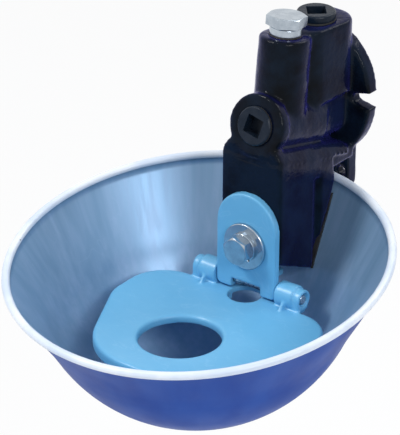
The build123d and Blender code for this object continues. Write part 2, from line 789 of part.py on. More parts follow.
def make_hinge_bracket():
    outline = Pos(0, (bracket_arc_height + bracket_bottom) / 2) * Rectangle(
        2 * bracket_half_width, bracket_arc_height - bracket_bottom
    )
    outline += Pos(0, bracket_arc_height) * Circle(bracket_half_width)
    outline = fillet(outline.vertices().group_by(Axis.Y)[0], bracket_corner)
    outline -= Pos(0, bracket_bottom) * Rectangle(
        2 * bracket_notch_half_width, 2 * (bracket_notch_top - bracket_bottom)
    )
    plate = Plane(origin=(0, -spout_front, 0), x_dir=(1, 0, 0), z_dir=(0, -1, 0)) * extrude(
        outline, bracket_thickness
    )
    front_edges = plate.edges().group_by(Axis.Y)[0].filter_by(GeomType.CIRCLE)
    plate = fillet(front_edges.sort_by(SortBy.LENGTH)[-1], bracket_edge_round)
    for side in (-1, 1):
        inner = bracket_notch_half_width
        low = (min(side * inner, side * bracket_half_width), -spout_front - overrun, bracket_bottom)
        high = (
            max(side * inner, side * bracket_half_width),
            -pin_front + lug_back,
            pin_height + lug_half_height,
        )
        lug = box_between(low, high)
        lug = fillet(lug.edges().filter_by(Axis.X).group_by(Axis.Y)[-1], lug_edge_round)
        plate += lug
    plate -= cylinder_along(
        (-pin_half_length, -pin_front, pin_height), (1, 0, 0), pin_radius, 2 * pin_half_length
    )
    plate -= cylinder_along(
        (0, -spout_front - 2 * bracket_thickness, bracket_bolt_height),
        (0, 1, 0),
        bracket_bolt_radius + loose_gap,
        4 * bracket_thickness,
    )
    return plate


def bracket_stack(depth):
    """Point on the bracket bolt's axis, depth in front of the housing's face."""
    return Vector(0, -spout_front - depth, bracket_bolt_height)


def make_washer():
    foot = bracket_stack(bracket_thickness)
    ring = cylinder_along(foot, (0, -1, 0), washer_radius, washer_thickness)
    ring = chamfer(ring.edges().filter_by(GeomType.CIRCLE).group_by(Axis.Y)[0], 0.5)
    return ring - cylinder_along(foot, (0, -1, 0), bracket_bolt_radius + running_gap, washer_thickness)


def make_spring_washer():
    foot = bracket_stack(bracket_thickness + washer_thickness)
    ring = cylinder_along(foot, (0, -1, 0), spring_washer_radius, spring_washer_thickness)
    ring -= cylinder_along(foot, (0, -1, 0), bracket_bolt_radius + running_gap, spring_washer_thickness)
    slit = Plane(origin=foot, z_dir=(0, -1, 0)) * Rot(0, 0, 40)
    slit = slit * Pos(spring_washer_radius, 0, 0) * Rot(0, 25, 0)
    return ring - slit * Box(3 * spring_washer_radius / 2, 1.4, 4 * spring_washer_thickness)


def make_bracket_bolt():
    foot = bracket_stack(bracket_thickness + washer_thickness + spring_washer_thickness)
    head = hexagon_along(foot, (0, -1, 0), bracket_bolt_flats, bracket_bolt_head, bracket_bolt_turn)
    corner = bracket_bolt_flats / math.sqrt(3)
    crown = cylinder_along(foot, (0, -1, 0), corner, bracket_bolt_head)
    crown = chamfer(
        crown.edges().filter_by(GeomType.CIRCLE).group_by(Axis.Y)[0],
        length=0.9, length2=corner - bracket_bolt_flats / 2 * 0.97,
    )
    reach = bracket_thickness + washer_thickness + spring_washer_thickness + bracket_bolt_grip
    return (head & crown) + cylinder_along(foot, (0, 1, 0), bracket_bolt_radius, reach)


def make_hinge_pin():
    end = (-pin_half_length, -pin_front, pin_height)
    pin = cylinder_along(end, (1, 0, 0), pin_radius, 2 * pin_half_length)
    return chamfer(pin.edges().filter_by(GeomType.CIRCLE), 0.6)


def paddle_outline(inset):
    """Outline of the paddle's disc, moved in by inset."""
    circles = []
    for x, front, radius in (paddle_shoulder, paddle_side, paddle_nose):
        for side in (-1, 1):
            circles.append(Pos(side * x, -pin_front - front) * CenterArc((0, 0), radius - inset, 0, 360))
    return make_hull(circles)


def make_paddle_plate():
    """Level plate with its turned-down edge and holes, before it is sloped."""
    top = pin_height - paddle_drop
    low = top - paddle_thickness
    plate = extrude(Pos(0, 0, top) * paddle_outline(0), -paddle_lip)
    plate = fillet(plate.edges().group_by(Axis.Z)[-1], paddle_edge_round)
    plate -= extrude(Pos(0, 0, low) * paddle_outline(paddle_lip_wall), -paddle_lip)
    # The heel starts inside the disc, clear of its rounded edge.
    overlap = -pin_front - paddle_shoulder[1] + paddle_shoulder[2] / 2
    heel = knuckle_outer - heel_inset
    plate += box_between((-heel, overlap, low), (heel, -heel_back, top))
    plate += box_between((-strap_half_width, overlap, low), (strap_half_width, -strap_back, top))
    lip = (0, -paddle_hole_front, top)
    plate += cylinder_along(lip, (0, 0, -1), paddle_hole_radius + paddle_lip_wall, paddle_hole_lip)
    plate -= cylinder_along(lip, (0, 0, -1), paddle_hole_radius, 2 * paddle_hole_lip)
    hole_edge = [
        e for e in plate.edges().filter_by(GeomType.CIRCLE)
        if abs(e.radius - paddle_hole_radius) < 0.01 and abs(e.center().Z - top) < 0.01
    ]
    plate = fillet(hole_edge, paddle_edge_round)
    hole_top = (0, -small_hole_front, top + overrun)
    plate -= cylinder_along(hole_top, (0, 0, -1), small_hole_radius, 3 * paddle_lip)
    return plate


def make_knuckle(side):
    """Hinge knuckle with its web and gusset, on one side."""
    plate_top = pin_height - paddle_drop
    start = (side * knuckle_inner, -pin_front, pin_height)
    knuckle = cylinder_along(start, (side, 0, 0), knuckle_radius, knuckle_step - knuckle_inner)
    knuckle += cylinder_along(start, (side, 0, 0), knuckle_end_radius, knuckle_outer - knuckle_inner)
    ends = sorted((side * knuckle_inner, side * knuckle_outer))
    knuckle += box_between(
        (ends[0], -pin_front - knuckle_end_radius, plate_top - overrun),
        (ends[1], -heel_back, pin_height),
    )
    front = -pin_front - knuckle_radius + gusset_bite
    foot = plate_top - overrun
    gusset = side_profile(
        [(front, pin_height + gusset_bite), (front - gusset_length, foot), (front, foot)],
        gusset_thickness / 2,
    )
    return knuckle + Pos(side * gusset_x, 0, 0) * gusset


def make_tongue():
    """Arm behind the hinge that lifts the valve stem."""
    top = stem_tip - tongue_gap
    foot = pin_height - paddle_drop
    points = [
        (-strap_back - tongue_root, foot - paddle_thickness + overrun),
        (-strap_back - tongue_root, foot),
        (-strap_back - overrun, top),
        (-tongue_end, top),
        (-tongue_end, top - tongue_thickness),
        (-strap_back + tongue_step, top - tongue_thickness - overrun),
        (-strap_back + overrun / 2, foot - paddle_thickness + overrun),
    ]
    return side_profile(points, tongue_half_width)


def make_paddle():
    paddle = make_paddle_plate()
    for side in (-1, 1):
        paddle += make_knuckle(side)
    pin_axis = Axis((0, -pin_front, pin_height), (1, 0, 0))
    paddle = paddle.rotate(pin_axis, paddle_slope) + make_tongue()
    paddle -= cylinder_along(
        (-knuckle_outer, -pin_front, pin_height), (1, 0, 0), pin_radius + running_gap, 2 * knuckle_outer
    )
    for side in (-1, 1):
        paddle -= cylinder_along(
            (side * (knuckle_outer - knuckle_recess), -pin_front, pin_height),
            (side, 0, 0), knuckle_recess_radius, knuckle_recess,
        )
    return paddle


def write(name, shapes):
    """Write one node, as one solid or a group of like solids."""
    piece = shapes[0] if len(shapes) == 1 else Compound(children=list(shapes))
    export_step(piece, "parts/" + name + ".step")


def main():
    os.makedirs("parts", exist_ok=True)
    inlet_mouth = Vector(0, -inlet_front, tower_top)
    up = Vector(0, 0, 1)
    boss_outward = tube_way * -1
    write("bowl", [make_bowl()])
    write("bowl_gasket", [make_gasket()])
    write("bowl_bolts", make_bowl_bolts())
    write("bowl_bolt_washers", make_bolt_washers())
    write("valve_housing", [make_housing()])
    write("front_plug", [make_plug(boss_centre, boss_outward, front_plug_proud, front_socket_turn)])
    write("front_plug_seal", [make_port_seal(boss_centre, boss_outward)])
    write("top_plug", [make_plug(inlet_mouth, up, top_plug_proud, top_socket_turn)])
    write("top_plug_seal", [make_port_seal(inlet_mouth, up)])
    write("regulator_gland", [make_gland()])
    write("gland_seal", [make_gland_seal()])
    write("spindle_o_ring", [make_spindle_o_ring()])
    write("regulating_screw", [make_regulating_screw()])
    write("throttle_plunger", [make_throttle()])
    write("inlet_strainer", [make_strainer()])
    write("valve_insert", [make_valve_insert()])
    write("valve_insert_seal", [make_insert_seal()])
    write("valve_insert_cap", [make_insert_cap()])
    write("valve_stem", [make_valve_stem()])
    write("valve_seat_rubber", [make_seat_seal()])
    write("valve_spring", [make_valve_spring()])
    write("hinge_bracket", [make_hinge_bracket()])
    write("bracket_washer", [make_washer()])
    write("bracket_spring_washer", [make_spring_washer()])
    write("bracket_bolt", [make_bracket_bolt()])
    write("hinge_pin", [make_hinge_pin()])
    write("paddle", [make_paddle()])


if __name__ == "__main__":
    main()
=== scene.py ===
import json
import math

import bmesh
import bpy
from bpy.props import FloatProperty, FloatVectorProperty, IntProperty, PointerProperty
from mathutils import Matrix, Vector, noise


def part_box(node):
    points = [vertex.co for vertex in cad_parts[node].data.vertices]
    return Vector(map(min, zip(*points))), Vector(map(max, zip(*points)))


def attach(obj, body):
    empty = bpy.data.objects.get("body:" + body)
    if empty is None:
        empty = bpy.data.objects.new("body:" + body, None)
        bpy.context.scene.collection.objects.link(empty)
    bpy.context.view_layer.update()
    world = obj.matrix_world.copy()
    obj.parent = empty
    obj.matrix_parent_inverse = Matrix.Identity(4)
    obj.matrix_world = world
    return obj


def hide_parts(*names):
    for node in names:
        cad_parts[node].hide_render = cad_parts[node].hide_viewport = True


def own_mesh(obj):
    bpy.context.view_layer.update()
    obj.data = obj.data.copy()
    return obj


bl_info = {
    "name": "Livestock Drinking Bowl",
    "version": (1, 0, 0),
    "blender": (4, 5, 0),
    "location": "3D View > Sidebar > Drinking Bowl",
    "description": "Enamelled bowl, cast valve housing and hinged paddle of a livestock drinking bowl",
    "category": "Object",
}

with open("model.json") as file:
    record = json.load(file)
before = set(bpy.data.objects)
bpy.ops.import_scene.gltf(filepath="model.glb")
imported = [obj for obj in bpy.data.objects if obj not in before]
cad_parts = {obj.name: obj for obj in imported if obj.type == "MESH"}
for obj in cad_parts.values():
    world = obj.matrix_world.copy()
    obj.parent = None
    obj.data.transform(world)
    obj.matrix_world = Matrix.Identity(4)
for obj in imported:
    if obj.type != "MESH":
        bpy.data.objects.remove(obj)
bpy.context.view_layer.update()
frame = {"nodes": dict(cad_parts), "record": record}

# ---- working values of the meshes ----
SAME_PLACE = 1e-6                       # corners closer than this are one corner
FLAT_ANGLE = math.radians(0.4)          # faces that differ by less are one flat face
EDGE_ANGLE = math.radians(28)           # edges sharper than this are broken
EDGE_STEPS = 2
SEAM_GAP = 1e-5                         # closes the turned bowl's seam and poles
BEND_STEPS = 5                          # rings in the soft bend at the crease
BRACKET_GRID = 0.75                     # the bracket's grid against the paddle's

# ---- lamps as name, place, size in metres and watts ----
LAMPS = (
    ("Key lamp", (-0.9, -1.1, 1.5), 0.5, 23.0),
    ("Fill lamp", (1.4, -0.8, 0.9), 0.6, 12.0),
    ("Back lamp", (0.4, 1.2, 1.3), 0.9, 10.0),
)
SKY_LIGHT = 0.5
SKY_TINT = (0.90, 0.94, 1.0)
FLOOR_REACH = 6.0
FLOOR_GLOW = 0.85                       # share of plain white that the lens sees in the floor

# ---- places taken from the frame, in metres ----
BOWL_LOW, BOWL_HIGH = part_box("bowl")
RIM_SLOPE = math.radians(9.0)
RIM_RADIUS = (BOWL_HIGH[0] - BOWL_LOW[0]) / 2
BEAD_RADIUS = 0.0028
RIM_CENTRE = Vector((
    0.0,
    (BOWL_LOW[1] + BOWL_HIGH[1]) / 2,
    BOWL_HIGH[2] - BEAD_RADIUS - (RIM_RADIUS - BEAD_RADIUS) * math.sin(RIM_SLOPE),
))


# ---------------------------------------------------------------- node helpers
def put(tree, kind, inputs=None, **settings):
    """Add a node, set its properties, and fill or join the inputs that are given."""
    node = tree.nodes.new(kind)
    for name, value in settings.items():
        setattr(node, name, value)
    for key, value in (inputs or {}).items():
        if isinstance(value, bpy.types.NodeSocket):
            tree.links.new(value, node.inputs[key])
        else:
            node.inputs[key].default_value = value
    return node


def sums(tree, operation, *values):
    """Result of a Math node."""
    node = put(tree, "ShaderNodeMath", operation=operation)
    for place, value in enumerate(values):
        if isinstance(value, bpy.types.NodeSocket):
            tree.links.new(value, node.inputs[place])
        else:
            node.inputs[place].default_value = value
    return node.outputs[0]


def blend_colours(tree, amount, first, second):
    """Result of a colour Mix node between two colours or colour sockets."""
    node = put(tree, "ShaderNodeMix", data_type="RGBA")
    for place, value in ((0, amount), (6, first), (7, second)):
        if isinstance(value, bpy.types.NodeSocket):
            tree.links.new(value, node.inputs[place])
        elif place == 0:
            node.inputs[place].default_value = value
        else:
            node.inputs[place].default_value = tuple(value)[:3] + (1.0,)
    return node.outputs[2]


def new_group(name, inputs, outputs):
    """Empty shader node group with named number sockets; inputs are (name, default)."""
    group = bpy.data.node_groups.new(name, "ShaderNodeTree")
    for title, value in inputs:
        socket = group.interface.new_socket(title, in_out="INPUT", socket_type="NodeSocketFloat")
        socket.default_value = value
    for title in outputs:
        group.interface.new_socket(title, in_out="OUTPUT", socket_type="NodeSocketFloat")
    return group, group.nodes.new("NodeGroupInput"), group.nodes.new("NodeGroupOutput")


def between_levels(group, value, given, result):
    """Put out a mask that rises from 0 to 1 between the group's two levels."""
    mask = put(group, "ShaderNodeMapRange", {
        "Value": value, "From Min": given.outputs["Low"], "From Max": given.outputs["High"],
    }, interpolation_type="SMOOTHSTEP")
    group.links.new(mask.outputs["Result"], result.inputs["Mask"])


def patches_group():
    """Cloudy patches: a mask that goes from 0 to 1 between two levels of a noise."""
    name = "Patches"
    if name in bpy.data.node_groups:
        return bpy.data.node_groups[name]
    group, given, result = new_group(
        name, [("Scale", 40.0), ("Detail", 4.0), ("Low", 0.4), ("High", 0.6)], ["Mask"]
    )
    place = put(group, "ShaderNodeTexCoord")
    cloud = put(group, "ShaderNodeTexNoise", {
        "Vector": place.outputs["Object"], "Scale": given.outputs["Scale"], "Detail": given.outputs["Detail"],
    })
    between_levels(group, cloud.outputs["Fac"], given, result)
    return group


def scuffs_group():
    """Thin scratches that run mostly along one direction."""
    name = "Scuffs"
    if name in bpy.data.node_groups:
        return bpy.data.node_groups[name]
    group, given, result = new_group(name, [("Scale", 60.0), ("Stretch", 12.0), ("Width", 0.03)], ["Mask"])
    place = put(group, "ShaderNodeTexCoord")
    stretch = put(group, "ShaderNodeCombineXYZ", {"X": 1.0, "Y": given.outputs["Stretch"], "Z": 1.0})
    long = put(group, "ShaderNodeVectorMath", {
        0: place.outputs["Object"], 1: stretch.outputs[0],
    }, operation="MULTIPLY")
    cloud = put(group, "ShaderNodeTexNoise", {
        "Vector": long.outputs[0], "Scale": given.outputs["Scale"], "Detail": 3.0, "Distortion": 0.6,
    })
    ridge = sums(group, "ABSOLUTE", sums(group, "SUBTRACT", cloud.outputs["Fac"], 0.5))
    near = sums(group, "SUBTRACT", 1.0, sums(group, "DIVIDE", ridge, given.outputs["Width"]))
    group.links.new(sums(group, "MAXIMUM", near, 0.0), result.inputs["Mask"])
    return group


def streaks_group():
    """Runs that follow the fall of the bowl's wall, counted round the bowl's axis."""
    name = "Wall Streaks"
    if name in bpy.data.node_groups:
        return bpy.data.node_groups[name]
    group, given, result = new_group(
        name, [("Around", 9.0), ("Down", 6.0), ("Low", 0.35), ("High", 0.7)], ["Mask"]
    )
    place = put(group, "ShaderNodeTexCoord")
    from_axis = put(group, "ShaderNodeVectorMath", {
        0: place.outputs["Object"], 1: tuple(RIM_CENTRE),
    }, operation="SUBTRACT")
    parts = put(group, "ShaderNodeSeparateXYZ", {0: from_axis.outputs[0]})
    reach = put(group, "ShaderNodeVectorMath", {0: from_axis.outputs[0]}, operation="NORMALIZE")
    way = put(group, "ShaderNodeSeparateXYZ", {0: reach.outputs[0]})
    wrapped = put(group, "ShaderNodeCombineXYZ", {
        "X": sums(group, "MULTIPLY", way.outputs["X"], given.outputs["Around"]),
        "Y": sums(group, "MULTIPLY", way.outputs["Y"], given.outputs["Around"]),
        "Z": sums(group, "MULTIPLY", parts.outputs["Z"], given.outputs["Down"]),
    })
    cloud = put(group, "ShaderNodeTexNoise", {"Vector": wrapped.outputs[0], "Scale": 1.0, "Detail": 5.0})
    between_levels(group, cloud.outputs["Fac"], given, result)
    return group


def effect(tree, group, **values):
    """Mask socket of a shared effect placed in a material with its own values."""
    node = put(tree, "ShaderNodeGroup", node_tree=group)
    for name, value in values.items():
        node.inputs[name].default_value = value
    return node.outputs["Mask"]


def finish_of(name, **constants):
    """New material with a Principled shader whose plain sockets are set."""
    material = bpy.data.materials.new(name)
    material.use_nodes = True
    shader = material.node_tree.nodes["Principled BSDF"]
    for title, value in constants.items():
        shader.inputs[title.replace("_", " ")].default_value = value
    return material, material.node_tree, shader


def vary_roughness(tree, shader, mask, low, high):
    """Drive the shader's roughness between two values."""
    spread = put(tree, "ShaderNodeMapRange", {"Value": mask, "To Min": low, "To Max": high})
    tree.links.new(spread.outputs["Result"], shader.inputs["Roughness"])


def grain_bumps(tree, shader, scale, detail, distance):
    """Uneven the surface with a fine noise through a Bump node."""
    place = put(tree, "ShaderNodeTexCoord")
    grain = put(tree, "ShaderNodeTexNoise", {
        "Vector": place.outputs["Object"], "Scale": scale, "Detail": detail,
    })
    bump = put(tree, "ShaderNodeBump", {"Height": grain.outputs["Fac"], "Distance": distance})
    tree.links.new(bump.outputs["Normal"], shader.inputs["Normal"])


# ---------------------------------------------------------------- finishes
def outer_blue_and_painted_reflection(colours):
    """Deep blue enamel of the bowl's outside; its saturated blue is partly the bowl's own tint and partly a
    painted reflection of blue surroundings.
    """
    material, tree, shader = finish_of("Bowl outside blue with painted reflection", IOR=1.15)
    runs = effect(tree, streaks_group(), Around=5.0, Down=10.0, Low=0.3, High=0.75)
    tone = blend_colours(tree, runs, colours.outside, colours.outside_deep)
    tree.links.new(tone, shader.inputs["Base Color"])
    vary_roughness(tree, shader, effect(tree, patches_group(), Scale=35.0, Low=0.3, High=0.7), 0.38, 0.5)
    return material


def inner_enamel(colours):
    """Blue-grey enamel of the bowl's inside, with runs down the wall."""
    material, tree, shader = finish_of("Bowl inside enamel", Metallic=0.3, IOR=1.35)
    runs = effect(tree, streaks_group(), Around=26.0, Down=9.0, Low=0.35, High=0.7)
    broad = effect(tree, streaks_group(), Around=5.0, Down=4.0, Low=0.3, High=0.7)
    tone = blend_colours(tree, sums(tree, "MULTIPLY", runs, 0.35), colours.inside, colours.inside_pale)
    tone = blend_colours(tree, sums(tree, "MULTIPLY", broad, 0.45), tone, colours.inside_deep)
    scratch = effect(tree, scuffs_group(), Scale=14.0, Stretch=3.0, Width=0.006)
    tone = blend_colours(tree, sums(tree, "MULTIPLY", scratch, 0.12), tone, colours.inside_pale)
    tree.links.new(tone, shader.inputs["Base Color"])
    vary_roughness(tree, shader, runs, 0.36, 0.44)
    return material


def rim_metal_and_painted_highlight(colours):
    """Bright worn bead of the rim, with small dark chips. Its near-white colour is partly the bead's bare
    metal and partly a painted highlight of the light from above.
    """
    material, tree, shader = finish_of("Rim bead with painted highlight", IOR=1.5)
    chips = effect(tree, patches_group(), Scale=60.0, Detail=5.0, Low=0.70, High=0.74)
    cloudy = effect(tree, patches_group(), Scale=28.0, Low=0.35, High=0.65)
    tone = blend_colours(tree, sums(tree, "MULTIPLY", cloudy, 0.4), colours.rim, colours.inside_pale)
    tone = blend_colours(tree, chips, tone, colours.chip)
    tree.links.new(tone, shader.inputs["Base Color"])
    vary_roughness(tree, shader, cloudy, 0.26, 0.4)
    return material


def cast_enamel(colours):
    """Thick glossy enamel over cast iron, nearly black, with a painted blue reflection in the base colour
    towards the grazing edges.
    """
    material, tree, shader = finish_of("Cast housing enamel with painted reflection", IOR=1.17)
    clouds = effect(tree, patches_group(), Scale=45.0, Low=0.35, High=0.7)
    # Painted reflection: Layer Weight turns the base colour violet-blue where the surface turns away from the
    # view.
    edge = put(tree, "ShaderNodeLayerWeight", {"Blend": 0.3})
    tone = blend_colours(tree, clouds, colours.cast, colours.cast_deep)
    painted_reflection_share = sums(tree, "MULTIPLY", sums(tree, "POWER", edge.outputs["Facing"], 2.6), 0.9)
    tone = blend_colours(tree, painted_reflection_share, tone, colours.cast_painted_reflection)
    tree.links.new(tone, shader.inputs["Base Color"])
    vary_roughness(tree, shader, clouds, 0.10, 0.18)
    grain_bumps(tree, shader, 260.0, 3.0, 0.00035)
    return material


def plug_coating(colours):
    """Black coated malleable iron of the pipe plugs."""
    material, tree, shader = finish_of("Plug coating", IOR=1.25)
    clouds = effect(tree, patches_group(), Scale=120.0, Low=0.35, High=0.7)
    tone = blend_colours(tree, clouds, colours.cast, colours.plug)
    tree.links.new(tone, shader.inputs["Base Color"])
    vary_roughness(tree, shader, clouds, 0.25, 0.42)
    grain_bumps(tree, shader, 420.0, 3.0, 0.0002)
    return material


def blue_plastic(colours):
    """Light blue moulded plastic of the paddle and its bracket."""
    material, tree, shader = finish_of("Blue moulded plastic", IOR=1.49)
    haze = effect(tree, patches_group(), Scale=22.0, Low=0.3, High=0.75)
    rub = effect(tree, scuffs_group(), Scale=30.0, Stretch=2.0, Width=0.012)
    tone = blend_colours(tree, haze, colours.plastic, colours.plastic_deep)
    tone = blend_colours(tree, sums(tree, "MULTIPLY", rub, 0.12), tone, colours.plastic_worn)
    tree.links.new(tone, shader.inputs["Base Color"])
    vary_roughness(tree, shader, haze, 0.3, 0.44)
    grain_bumps(tree, shader, 55.0, 2.0, 0.0005)
    return material


def zinc_plate(colours):
    """Bright zinc plating of the hexagon heads and washers."""
    material, tree, shader = finish_of("Bright zinc", Metallic=1.0)
    clouds = effect(tree, patches_group(), Scale=150.0, Low=0.3, High=0.7)
    rub = effect(tree, scuffs_group(), Scale=160.0, Stretch=5.0, Width=0.05)
    tone = blend_colours(tree, sums(tree, "MULTIPLY", clouds, 0.5), colours.zinc, colours.zinc_dull)
    tone = blend_colours(tree, sums(tree, "MULTIPLY", rub, 0.15), tone, colours.zinc_dull)
    tree.links.new(tone, shader.inputs["Base Color"])
    vary_roughness(tree, shader, clouds, 0.14, 0.24)
    return material


def turned_steel(colours):
    """Turned stainless steel of the stem, spring, strainer and hinge pin."""
    material, tree, shader = finish_of("Turned stainless", Metallic=1.0)
    rub = effect(tree, scuffs_group(), Scale=220.0, Stretch=8.0, Width=0.08)
    tone = blend_colours(tree, rub, colours.zinc_dull, colours.zinc)
    tree.links.new(tone, shader.inputs["Base Color"])
    vary_roughness(tree, shader, rub, 0.24, 0.34)
    return material


def turned_brass(colours):
    """Turned brass of the valve insert and the throttle plunger."""
    material, tree, shader = finish_of("Turned brass", Metallic=1.0)
    clouds = effect(tree, patches_group(), Scale=130.0, Low=0.3, High=0.7)
    tone = blend_colours(tree, clouds, colours.brass, colours.brass_dull)
    tree.links.new(tone, shader.inputs["Base Color"])
    vary_roughness(tree, shader, clouds, 0.25, 0.4)
    return material


def black_rubber(colours):
    """Matt black rubber of the seals and the gasket."""
    material, tree, shader = finish_of("Black rubber", IOR=1.5)
    bloom = effect(tree, patches_group(), Scale=90.0, Low=0.35, High=0.7)
    tone = blend_colours(tree, bloom, colours.rubber, colours.rubber_bloom)
    tree.links.new(tone, shader.inputs["Base Color"])
    vary_roughness(tree, shader, bloom, 0.6, 0.78)
    return material


MAKERS = {
    "outside": outer_blue_and_painted_reflection,
    "inside": inner_enamel,
    "rim": rim_metal_and_painted_highlight,
    "cast_enamel": cast_enamel,
    "plug_black": plug_coating,
    "paddle_blue": blue_plastic,
    "zinc_steel": zinc_plate,
    "stainless": turned_steel,
    "brass": turned_brass,
    "rubber_black": black_rubber,
}
made = {}


def finish(name):
    """The finish of that name, made once from the add-on's colours."""
    if name not in made:
        made[name] = MAKERS[name](bpy.context.scene.waterer_colours)
    return made[name]


# ---------------------------------------------------------------- mesh helpers
def place_mesh(name, mesh):
    """Object for a finished mesh, at the origin, in the scene."""
    piece = bpy.data.objects.new(name, mesh)
    bpy.context.scene.collection.objects.link(piece)
    return piece


def settled(piece):
    """Replace a piece by the plain mesh that its modifiers give."""
    depsgraph = bpy.context.evaluated_depsgraph_get()
    mesh = bpy.data.meshes.new_from_object(piece.evaluated_get(depsgraph))
    mesh.name = piece.name
    piece.modifiers.clear()
    piece.data = mesh
    return piece


def cad_copy(node, name):
    """Copy of a CAD node's mesh with its loose triangles joined."""
    mesh = frame["nodes"][node].data.copy()
    mesh.name = name
    mesh.materials.clear()
    form = bmesh.new()
    form.from_mesh(mesh)
    bmesh.ops.remove_doubles(form, verts=form.verts, dist=SAME_PLACE)
    bmesh.ops.dissolve_limit(form, angle_limit=FLAT_ANGLE, verts=form.verts, edges=form.edges)
    form.to_mesh(mesh)
    form.free()
    if "custom_normal" in mesh.attributes:
        mesh.attributes.remove(mesh.attributes["custom_normal"])
    return place_mesh(name, mesh)


def smooth(piece):
    """Smooth shading over the whole piece."""
    piece.data.polygons.foreach_set("use_smooth", [True] * len(piece.data.polygons))


def stand_for(node, piece, body):
    """Make a piece move with a body and stand for a CAD node."""
    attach(piece, body)
    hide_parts(node)


def dressed(node, name, slot, body, bevel):
    """Bevelled copy of a CAD node in its finish, standing for the node."""
    piece = cad_copy(node, name)
    smooth(piece)
    rounding = piece.modifiers.new("Edge", "BEVEL")
    rounding.width = bevel
    rounding.segments = EDGE_STEPS
    rounding.limit_method = "ANGLE"
    rounding.angle_limit = EDGE_ANGLE
    flats = piece.modifiers.new("Flats", "WEIGHTED_NORMAL")
    flats.mode = "FACE_AREA_WITH_ANGLE"
    flats.weight = 100
    flats.thresh = 0.01
    settled(piece)
    piece.data.materials.append(finish(slot))
    stand_for(node, piece, body)


def moulded(node, name, voxel, rounds, keep):
    """Copy of a CAD node with soft edges, as a casting or a moulding has."""
    piece = cad_copy(node, name)
    remesh = piece.modifiers.new("Voxels", "REMESH")
    remesh.mode = "VOXEL"
    remesh.voxel_size = voxel
    soften = piece.modifiers.new("Soften", "SMOOTH")
    soften.factor = 0.5
    soften.iterations = rounds
    thin = piece.modifiers.new("Thin", "DECIMATE")
    thin.ratio = keep
    settled(piece)
    return piece


def make_spring():
    """Valve spring with its finish and a mesh of its own. The real spring is squeezed against the cap as the
    stem rises; this copy keeps the CAD shape.
    """
    piece = cad_copy("valve_spring", "valve_spring_coil")
    smooth(piece)
    piece.data.materials.append(finish("stainless"))
    stand_for("valve_spring", piece, "frame")
    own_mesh(piece)


# ---------------------------------------------------------------- bowl
def bowl_profile(sizes):
    """Outline of the bowl's wall as (radius, height) from the rim plane, outer pole to inner pole."""
    def side(inset):
        """Wall and dish of one surface, from the bead to the pole."""
        wall_top = RIM_RADIUS - BEAD_RADIUS / 2
        spread = (wall_top - sizes.crease_radius) / sizes.crease_depth
        dish = (sizes.crease_radius**2 + sizes.dish_height**2) / (2 * sizes.dish_height)
        rise = dish - sizes.dish_height
        shell = dish - inset
        top = Vector((wall_top - inset * math.hypot(1, spread), 0.0))
        corner = Vector((math.sqrt(shell**2 - rise**2), -sizes.crease_depth))
        start = math.asin(corner.x / shell)
        along = corner - top
        before = corner - along.normalized() * sizes.crease_round
        turn = start - sizes.crease_round / shell
        after = Vector((shell * math.sin(turn), rise - sizes.crease_depth - shell * math.cos(turn)))
        points = []
        first = (BEAD_RADIUS * 0.6) / along.length
        for step in range(sizes.wall_steps):
            share = first + (1 - first - sizes.crease_round / along.length) * step / (sizes.wall_steps - 1)
            points.append(top + along * share)
        for step in range(1, BEND_STEPS + 1):
            share = step / (BEND_STEPS + 1)
            points.append(before.lerp(corner, share).lerp(corner.lerp(after, share), share))
        for step in range(sizes.dish_steps + 1):
            angle = turn * (1 - step / sizes.dish_steps)
            fall = sizes.crease_depth + shell * math.cos(angle)
            points.append(Vector((shell * math.sin(angle), rise - fall)))
        return points

    outer = side(0.0)
    inner = side(sizes.wall)
    bead_centre = Vector((RIM_RADIUS - BEAD_RADIUS, 0.0))
    begin = math.atan2(*(outer[0] - bead_centre).yx)
    end = math.atan2(*(inner[0] - bead_centre).yx) + 2 * math.pi
    bead = []
    for step in range(1, sizes.bead_steps):
        angle = begin + (end - begin) * step / sizes.bead_steps
        bead.append(bead_centre + BEAD_RADIUS * Vector((math.cos(angle), math.sin(angle))))
    return outer[::-1], bead, inner


